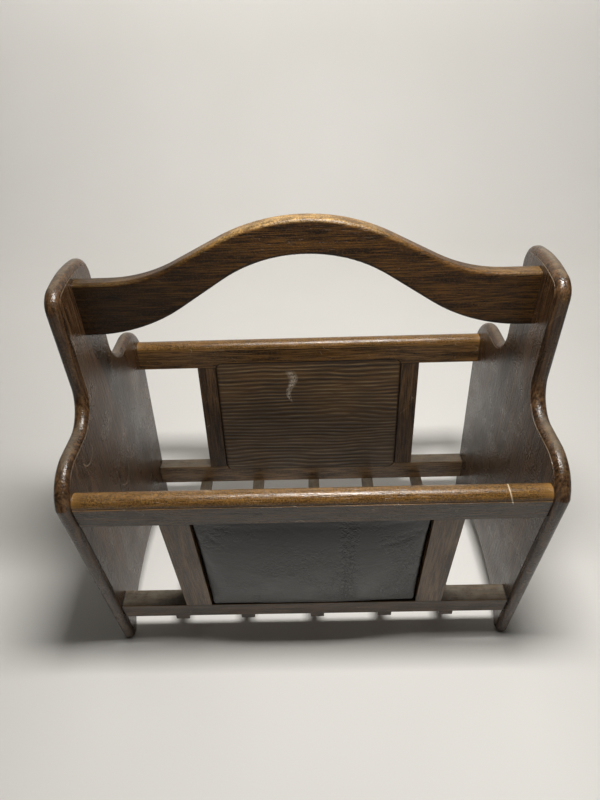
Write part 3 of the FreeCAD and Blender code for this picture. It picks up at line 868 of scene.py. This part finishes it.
    def edge_at(self, x: float, up: float) -> float:
        """Outward reach of the cover's border level with a place: deeper at the top and at one side."""
        rise = max(0.0, up - self.fullest[1]) / (self.high - self.fullest[1])
        aside = max(0.0, x) / self.half_width
        return self.edge - self.top_fall * min(1.0, rise) ** 2 - self.side_fall * min(1.0, aside) ** 2

    def creases(self, x: float, up: float) -> float:
        """Depth of the leather's creases at a place, in metres.

        Args:
            x: place along the pad, seen from outside.
            up: place up its slope.

        Returns:
            How far the surface sinks.
        """
        depth = 0.0
        seed = 2.0 if self.side is Side.FRONT else 17.0
        mirror = 1.0 if self.side is Side.FRONT else -1.0
        column = self.crumple_at + 4 * MM * noise.noise(Vector((0, up / 0.03, seed)))
        near = math.exp(-(((x * mirror) - column) / self.crumple_half) ** 2)
        crumple = abs(noise.noise(Vector((x / 0.009, up / 0.016, seed + 1)))) * 1.6
        fade = smooth_step(up, 30 * MM, 60 * MM) * smooth_step(174 * MM, up, up + 14 * MM)
        depth += self.crumple_depth * near * max(0.0, crumple - 0.05) * fade
        for start, end, width in self.pulls:
            depth += self.pull(x * mirror, up, start, end, width)
        depth += self.slack_depth * noise.noise(Vector((x / 0.040, up / 0.016, seed + 3)))
        return depth

    def pull(self, x: float, up: float, start: tuple[float, float], end: tuple[float, float],
             width: float) -> float:
        """Depth of one straight pull in the leather, fading from its start in a corner to its end."""
        origin = Vector(start) * MM
        run = Vector(end) * MM - origin
        here = Vector((x, up)) - origin
        t = here.dot(run) / run.length_squared
        if not -0.05 < t < 1.05:
            return 0.0
        aside = (here - run * t).length / (width * MM)
        fade = smooth_step(t, -0.05, 0.15) * smooth_step(1.05 - t, 0.0, 0.7)
        return self.pull_depth * math.exp(-aside * aside) * fade

    def form(self) -> bpy.types.Object:
        """The stuffed closed form, crowned and creased, on the side frame's own axes."""
        blank = Graph("pad_blank").finish({})
        piece = make_piece("pad_form", self.slack_block(), blank)
        self.stuff(piece)
        subdivide = piece.modifiers.new("rounding", "SUBSURF")
        subdivide.levels = subdivide.render_levels = 1
        self.apply(piece)
        self.pull_tight(piece.data)
        highest = max(v.co.y for v in piece.data.vertices)
        hand = 1.0 if self.side is Side.FRONT else -1.0
        for vert in piece.data.vertices:
            reach = smooth_step(vert.co.y, self.back + 5 * MM, highest - 1 * MM)
            if reach:
                edge = self.edge_at(vert.co.x * hand, vert.co.z)
                full = edge + (self.crown - edge) * self.crown_of(vert.co.x * hand, vert.co.z)
                vert.co.y += reach * (full - vert.co.y) * self.tight
                vert.co.y -= reach * self.creases(vert.co.x, vert.co.z)
        self.keep_clear(piece.data)
        return piece

    def pull_tight(self, data: bpy.types.Mesh) -> None:
        """Stretches the stuffed cover to the full width and height of its board."""
        middle, half_height = (self.low + self.high) / 2, (self.high - self.low) / 2
        wide = max(1.0, self.half_width / max(abs(v.co.x) for v in data.vertices))
        tall = max(1.0, half_height / max(abs(v.co.z - middle) for v in data.vertices))
        for vert in data.vertices:
            vert.co.x *= wide
            vert.co.z = middle + (vert.co.z - middle) * tall

    def keep_clear(self, data: bpy.types.Mesh) -> None:
        """Holds a pad's mesh inside the opening of its side frame."""
        for vert in data.vertices:
            vert.co.x = max(-self.half_width, min(self.half_width, vert.co.x))
            vert.co.y = max(self.back, min(self.crown + 0.1 * MM, vert.co.y))
            vert.co.z = max(self.low, min(self.high, vert.co.z))

    def cover(self, form: bpy.types.Object, name: str) -> bpy.types.Object:
        """Cuts the leather cover from the stuffed form: open at the back, a hide's thickness all round."""
        mesh = bmesh.new()
        mesh.from_mesh(form.data)
        cut_away(mesh, (0, self.back + 0.3 * MM, 0), (0, -1, 0))
        bmesh.ops.remove_doubles(mesh, verts=mesh.verts, dist=1e-5)
        bmesh.ops.transform(mesh, matrix=self.side.place(), verts=mesh.verts)
        bmesh.ops.recalc_face_normals(mesh, faces=mesh.faces)
        piece = make_piece(f"{name}_leather_cover", mesh,
                           BlackLeather().material(f"black_leather_{name}", self.side))
        hide = piece.modifiers.new("hide", "SOLIDIFY")
        hide.thickness, hide.offset = self.leather, -1
        return piece

    def foam(self, form: bpy.types.Object, name: str) -> bpy.types.Object:
        """Shrinks the stuffed form inside the leather and cuts it flat where it rests on the board."""
        mesh = bmesh.new()
        mesh.from_mesh(form.data)
        mesh.normal_update()
        for vert, way in [(v, v.normal.copy()) for v in mesh.verts]:
            vert.co -= way * (self.leather + 0.15 * MM)
        cut = cut_away(mesh, (0, self.board_face + 0.05 * MM, 0), (0, -1, 0))
        bmesh.ops.holes_fill(mesh, edges=[e for e in cut if isinstance(e, bmesh.types.BMEdge)])
        bmesh.ops.transform(mesh, matrix=self.side.place(), verts=mesh.verts)
        bmesh.ops.recalc_face_normals(mesh, faces=mesh.faces)
        return make_piece(f"{name}_foam_pad", mesh, FOAM.material(f"upholstery_foam_{name}"))

    def build(self) -> None:
        """Makes the cover and the foam of one pad, in place of the part's plain solids."""
        name = self.side.name.lower()
        form = self.form()
        cover, foam = self.cover(form, name), self.foam(form, name)
        bpy.data.objects.remove(form)
        for piece, node, slot, fill in ((cover, "pad_cover", "leather", 0.85), (foam, "pad_foam", "foam", 0.9)):
            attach(piece, "root")
            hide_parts(f"{name}_{node}")
            LOG.info("%s: %d faces", piece.name, len(piece.data.polygons))
        if self._moved:
            LOG.info("%s stuffing pushed up to %.1f mm", name, max(self._moved) / MM)
        dress(f"{name}_pad_board", HARDBOARD.material(f"hardboard_{name}"))


# ---------------- wooden parts
@dataclass
class EndPanels:
    """The two shaped end boards, with their grain running up."""

    finish: EndBoardWood = field(default_factory=lambda: EndBoardWood(
        dark="#22160c", body="#3f2b1a", light="#563e28", worn="#7d6444", edge_wear=0.40, scratches=0.16,
        figure_share=0.14, fibre_mm=(48.0, 2.3), pore_mm=(34.0, 2.5), ring_mm=17.0, pebble_mm=1.9,
        pebble_depth=0.50, specular=0.5, roughness=0.28, varnish=0.03))

    def build(self) -> None:
        """Dresses both end boards."""
        left = replace(self.finish, hooks=(((-12, 176), 16, 170), ((-78, 266), 14, 262), ((20, 178), 9, 175)))
        boards = (("left_end_panel", left), ("right_end_panel", self.finish))
        for plank, (node, finish) in enumerate(boards, start=1):
            dress(node, finish.material(f"stained_beech_{node}", Lay(Grain.UP_END, 0.0, plank)))


@dataclass
class CarryHandle:
    """The bowed handle board between the two heads."""

    finish: HandleWood = field(default_factory=lambda: HandleWood(
        dark="#160d05", body="#3d270f", light="#5e3f1b", worn="#a8854e", edge_wear=1.0, end_darkening=0.75,
        specular=0.34, varnish=0.04, scratches=0.12, pebble_mm=1.7, pebble_depth=0.42, ring_mm=15.0,
        ring_wander=3.0, roughness=0.34, dust=0.05))

    def build(self) -> None:
        """Dresses the handle."""
        dress("handle", self.finish.material("stained_beech_handle", Lay(Grain.ALONG_X, 0.0, 5)))


@dataclass
class SideFrame:
    """One leaning side frame: two rails, two stiles, its ribbed panel and its stuffed pad."""

    side: Side
    rail: StainedWood = field(default_factory=lambda: StainedWood(
        dark="#24180e", body="#473420", light="#644b32", worn="#8a6d47", edge_wear=0.55, dust=0.6,
        seams=(-209.8 * MM, 209.8 * MM)))
    stile: StainedWood = field(default_factory=lambda: StainedWood(
        dark="#2e2013", body="#5a4329", light="#7b5f3f", worn="#8a6c47", edge_wear=0.5,
        seams=(SLOPE_ORIGIN + 24.1 * MM, SLOPE_ORIGIN + 177.9 * MM)))

    def build(self) -> None:
        """Dresses the rails and stiles, and makes the panel and the pad."""
        name, lean = self.side.name.lower(), self.side.value * LEAN
        plank = 10 if self.side is Side.FRONT else 20
        grip = GripRailWood(dark="#24180b", body="#4a351c", light="#66492a", worn="#936c37", edge_wear=0.75,
                            dust=0.05, pebble_mm=1.1, pebble_depth=0.26, speckle=0.3, roughness=0.22,
                            specular=0.5, varnish=0.03, bare_line=self.side is Side.FRONT)
        dress(f"{name}_top_rail",
              grip.material(f"stained_beech_{name}_top_rail", Lay(Grain.ALONG_X, lean, plank)))
        rail = self.rail
        # The back lower rail takes a lighter copy of the same stain: painted light.
        if self.side is Side.BACK:
            rail = replace(rail, dark="#32241a", body="#5e472e", light="#7b5f40")
        dress(f"{name}_lower_rail",
              rail.material(f"stained_beech_{name}_lower_rail", Lay(Grain.ALONG_X, lean, plank + 1)))
        stile = self.stile
        # The back stiles take a darker copy of the same stain: painted shade.
        if self.side is Side.BACK:
            stile = replace(stile, dark="#1c1209", body="#3c2a18", light="#5a4126")
        for step, hand in enumerate(("left", "right"), start=2):
            dress(f"{name}_{hand}_stile", stile.material(
                f"stained_beech_{name}_{hand}_stile", Lay(Grain.UP_FRAME, lean, plank + step)))
        RibbedPanel(self.side).build()
        StuffedPad(self.side).build()


@dataclass
class SlattedFloor:
    """Five floor slats nailed under the lower rails."""

    count: int = 5
    finish: StainedWood = field(default_factory=lambda: StainedWood(
        dark="#20150d", body="#43301f", light="#5d4530", worn="#7d6142", edge_wear=0.4, dust=0.55))

    def build(self) -> None:
        """Dresses the slats and their nails."""
        for number in range(1, self.count + 1):
            dress(f"floor_slat_{number}", self.finish.material(
                f"stained_beech_slat_{number}", Lay(Grain.ALONG_Y, 0.0, 30 + number)))
        dress("slat_nails", NAIL_STEEL.material("drawn_steel_nails"))


@dataclass
class Joinery:
    """The hidden dowels that hold rails, stiles and handle."""

    nodes: tuple[str, ...] = ("rail_dowels", "stile_dowels", "handle_dowels")

    def build(self) -> None:
        """Dresses the dowels."""
        beech = DOWEL_BEECH.material("turned_beech_dowels")
        for node in self.nodes:
            dress(node, beech)


# ---------------- studio
@dataclass(frozen=True)
class Lamp:
    """A soft rectangular lamp: where it hangs, where it points, its size and its power in watts."""

    name: str
    place: tuple[float, float, float]
    target: tuple[float, float, float]
    size: tuple[float, float]
    power: float

    def hang(self) -> None:
        """Adds the lamp to the scene."""
        data = bpy.data.lights.new(self.name, "AREA")
        data.shape, data.size, data.size_y = "RECTANGLE", *self.size
        data.energy, data.color = self.power, (1.0, 0.985, 0.96)
        lamp = bpy.data.objects.new(self.name, data)
        lamp.location = self.place
        towards = Vector(self.target) - Vector(self.place)
        lamp.rotation_euler = towards.to_track_quat("-Z", "Y").to_euler()
        bpy.context.scene.collection.objects.link(lamp)


@dataclass
class Studio:
    """A sweep of white paper, a soft lamp overhead, a wash on the backdrop, a little fill, and the camera."""

    paper: str = "#e9e7e3"
    paper_half: float = 30.0
    sweep_start: float = 0.95  # the paper starts to rise here, behind the rack
    sweep_radius: float = 0.45
    wall_height: float = 4.0
    fill: float = 0.018
    eye: tuple[float, float, float] = (1.669 * MM, -476.906 * MM, 624.47 * MM)
    yaw: float = -0.022345
    pitch: float = 0.650952
    roll: float = -0.037335
    lens_mm: float = 25.693
    lamps: tuple[Lamp, ...] = (
        Lamp("overhead", (0.08, -0.15, 0.94), (0.08, -0.15, 0.0), (0.28, 0.13), 8.6),
        Lamp("backdrop_wash", (0.0, 0.30, 1.35), (0.0, 1.30, 1.13), (2.6, 0.5), 25.0),
    )

    def floor(self) -> None:
        """Lays the paper and sweeps it up behind the rack."""
        mesh = bmesh.new()
        front = mesh.verts.new((0, -self.paper_half, 0))
        crease = mesh.verts.new((0, self.sweep_start, 0))
        mesh.edges.new((front, crease))
        turned = bmesh.ops.spin(mesh, geom=[crease], cent=(0, self.sweep_start, self.sweep_radius),
                                axis=(1, 0, 0), angle=math.pi / 2, steps=16, use_merge=False,
                                use_duplicate=False)
        top = turned["geom_last"][0]
        wall = mesh.verts.new((0, top.co.y, self.wall_height))
        mesh.edges.new((top, wall))
        bmesh.ops.translate(mesh, verts=mesh.verts, vec=(-self.paper_half, 0, 0))
        wide = bmesh.ops.extrude_edge_only(mesh, edges=list(mesh.edges))["geom"]
        bmesh.ops.translate(mesh, verts=[v for v in wide if isinstance(v, bmesh.types.BMVert)],
                            vec=(2 * self.paper_half, 0, 0))
        bmesh.ops.recalc_face_normals(mesh, faces=mesh.faces)
        g = Graph("white_paper")
        place = g.add(PLACE)
        buckle = g.add(NOISE, place, 3.0, 2.0)
        tooth = g.add(NOISE, place, 700.0, 2.0)
        tint = g.add(MIX, buckle, linear(self.paper), linear("#e1dfda"))
        relief = g.add(BUMP, tooth, 0.05 * MM, None, 0.4)
        finish = g.finish({"Base Color": tint, "Roughness": 0.85, "Normal": relief})
        sheet = make_piece("paper_floor", mesh, finish)

    def light(self) -> None:
        """Hangs the lamps and sets the fill."""
        for lamp in self.lamps:
            lamp.hang()
        world = bpy.data.worlds.new("soft_room")
        world.use_nodes = True
        world.node_tree.nodes["Background"].inputs["Color"].default_value = linear("#f4f2ee")
        world.node_tree.nodes["Background"].inputs["Strength"].default_value = self.fill
        bpy.context.scene.world = world

    def camera(self) -> None:
        """Sets the camera above the front edge, looking down into the rack."""
        ahead = Vector((math.sin(self.yaw) * math.cos(self.pitch), math.cos(self.yaw) * math.cos(self.pitch),
                        -math.sin(self.pitch)))
        level = Vector((math.cos(self.yaw), -math.sin(self.yaw), 0.0))
        lift = level.cross(ahead)
        right = level * math.cos(self.roll) + lift * math.sin(self.roll)
        up = lift * math.cos(self.roll) - level * math.sin(self.roll)
        data = bpy.data.cameras.new("eye")
        data.lens, data.sensor_width, data.clip_start, data.clip_end = self.lens_mm, 36.0, 0.01, 200.0
        eye = bpy.data.objects.new("eye", data)
        turn = Matrix((right, up, -ahead)).transposed().to_4x4()
        eye.matrix_world = Matrix.Translation(self.eye) @ turn
        bpy.context.scene.collection.objects.link(eye)
        bpy.context.scene.camera = eye

    def build(self) -> None:
        """Sets up camera, paper and lamps."""
        self.camera()
        self.floor()
        self.light()
        bpy.context.scene.view_settings.view_transform = "Standard"


def main() -> None:
    """Builds the rack in order."""
    logging.basicConfig(level=logging.INFO, format="%(name)s %(message)s")
    Studio().build()
    EndPanels().build()
    CarryHandle().build()
    for side in Side:
        SideFrame(side).build()
    SlattedFloor().build()
    Joinery().build()
    bpy.context.view_layer.update()


if __name__ == "__main__":
    main()
